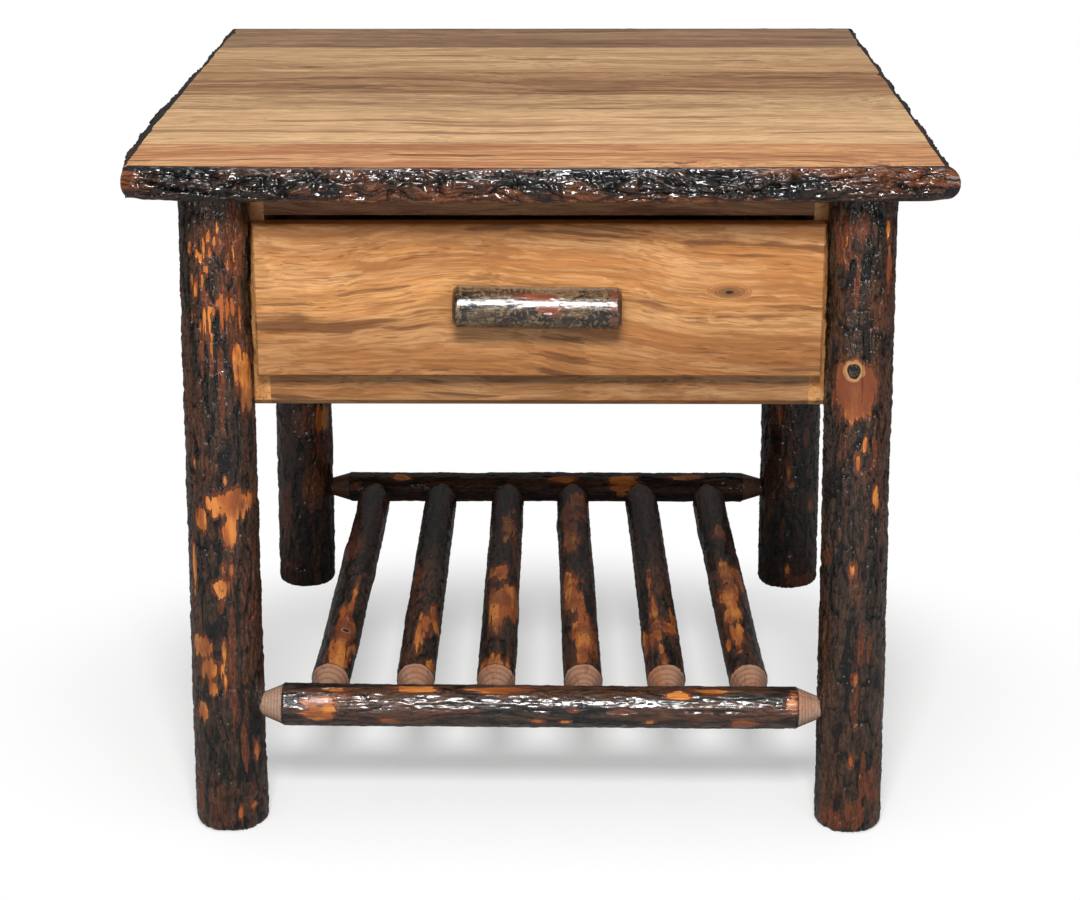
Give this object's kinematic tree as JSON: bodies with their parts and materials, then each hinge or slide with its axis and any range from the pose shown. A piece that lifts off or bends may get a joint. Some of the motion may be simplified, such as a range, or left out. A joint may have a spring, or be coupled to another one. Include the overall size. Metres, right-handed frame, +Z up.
{
  "type": "rustic end table",
  "caption": "Rustic hickory log end table with a boarded top edged in bark, a drawer on ball-bearing slides with a log pull, and a slatted log shelf.",
  "frame": {"origin": "on the floor, under the centre of the table's outer box", "axes": "+Z up, normal to the top; +Y from the drawer side to the back, which is the table's longest extent; +X to the right as seen from the drawer side"},
  "size_m": [0.677, 0.7129, 0.607],
  "materials": {
    "board_amber": "glossy clear lacquer over orange-brown hickory",
    "board_tan": "glossy clear lacquer over light tan hickory",
    "board_brown": "glossy clear lacquer over brown hickory",
    "board_grey": "glossy clear lacquer over dark greyish-brown hickory",
    "bark_edging": "lacquered furrowed bark",
    "bark_log": "lacquered hickory bark with bare peeled patches",
    "case_wood": "glossy clear lacquer over hickory",
    "box_wood": "satin clear finish over pale secondary wood",
    "dowel_wood": "bare wood",
    "slide_steel": "zinc-plated sheet steel",
    "ball_steel": "polished steel",
    "screw_steel": "zinc-plated steel",
    "brad_steel": "plain steel"
  },
  "bodies": {
    "table": {"case_back": "case_wood", "case_dowels": "dowel_wood", "case_side_left": "case_wood", "case_side_right": "case_wood", "cleat_screws": "screw_steel", "edging_back": "bark_edging", "edging_brads": "brad_steel", "edging_front": "bark_edging", "edging_left": "bark_edging", "edging_right": "bark_edging", "lag_screws": "screw_steel", "leg_back_left": "bark_log", "leg_back_right": "bark_log", "leg_dowels": "dowel_wood", "leg_front_left": "bark_log", "leg_front_right": "bark_log", "rail_bottom": "case_wood", "rail_top": "case_wood", "slide_case_left": "slide_steel", "slide_case_right": "slide_steel", "slide_case_screws": "screw_steel", "spindle_1": "bark_log", "spindle_2": "bark_log", "spindle_3": "bark_log", "spindle_4": "bark_log", "spindle_5": "bark_log", "spindle_6": "bark_log", "stretcher_back": "bark_log", "stretcher_front": "bark_log", "tenon_brads": "brad_steel", "top_board_1": "board_amber", "top_board_2": "board_tan", "top_board_3": "board_amber", "top_board_4": "board_brown", "top_board_5": "board_tan", "top_board_6": "board_tan", "top_board_7": "board_grey", "top_cleat_left": "box_wood", "top_cleat_right": "box_wood", "top_screws": "screw_steel"},
    "drawer": {"drawer_front": "case_wood", "drawer_box_front": "box_wood", "drawer_box_back": "box_wood", "drawer_side_left": "box_wood", "drawer_side_right": "box_wood", "drawer_bottom": "box_wood", "handle": "bark_log", "handle_screws": "screw_steel", "drawer_front_screws": "screw_steel", "drawer_box_brads": "brad_steel", "slide_drawer_left": "slide_steel", "slide_drawer_right": "slide_steel", "slide_drawer_screws": "screw_steel"},
    "slide_middle_left": {"slide_middle_left": "slide_steel"},
    "ball_cage_outer_left": {"ball_cage_outer_left": "ball_steel"},
    "ball_cage_inner_left": {"ball_cage_inner_left": "ball_steel"},
    "slide_middle_right": {"slide_middle_right": "slide_steel"},
    "ball_cage_outer_right": {"ball_cage_outer_right": "ball_steel"},
    "ball_cage_inner_right": {"ball_cage_inner_right": "ball_steel"}
  },
  "joints": [
    {"name": "drawer_slide", "type": "slide", "parent": "table", "child": "drawer", "axis": [0, -1, 0], "range_m": [0, 0.4]},
    {"name": "slide_middle_left_slide", "type": "slide", "parent": "table", "child": "slide_middle_left", "axis": [0, -1, 0], "range_m": [0, 0.2]},
    {"name": "ball_cage_outer_left_slide", "type": "slide", "parent": "table", "child": "ball_cage_outer_left", "axis": [0, -1, 0], "range_m": [0, 0.1]},
    {"name": "ball_cage_inner_left_slide", "type": "slide", "parent": "table", "child": "ball_cage_inner_left", "axis": [0, -1, 0], "range_m": [0, 0.3]},
    {"name": "slide_middle_right_slide", "type": "slide", "parent": "table", "child": "slide_middle_right", "axis": [0, -1, 0], "range_m": [0, 0.2]},
    {"name": "ball_cage_outer_right_slide", "type": "slide", "parent": "table", "child": "ball_cage_outer_right", "axis": [0, -1, 0], "range_m": [0, 0.1]},
    {"name": "ball_cage_inner_right_slide", "type": "slide", "parent": "table", "child": "ball_cage_inner_right", "axis": [0, -1, 0], "range_m": [0, 0.3]}
  ],
  "couplings": [
    {"joint": "slide_middle_left_slide", "follows": "drawer_slide", "ratio": 0.5},
    {"joint": "ball_cage_outer_left_slide", "follows": "drawer_slide", "ratio": 0.25},
    {"joint": "ball_cage_inner_left_slide", "follows": "drawer_slide", "ratio": 0.75},
    {"joint": "slide_middle_right_slide", "follows": "drawer_slide", "ratio": 0.5},
    {"joint": "ball_cage_outer_right_slide", "follows": "drawer_slide", "ratio": 0.25},
    {"joint": "ball_cage_inner_right_slide", "follows": "drawer_slide", "ratio": 0.75}
  ]
}
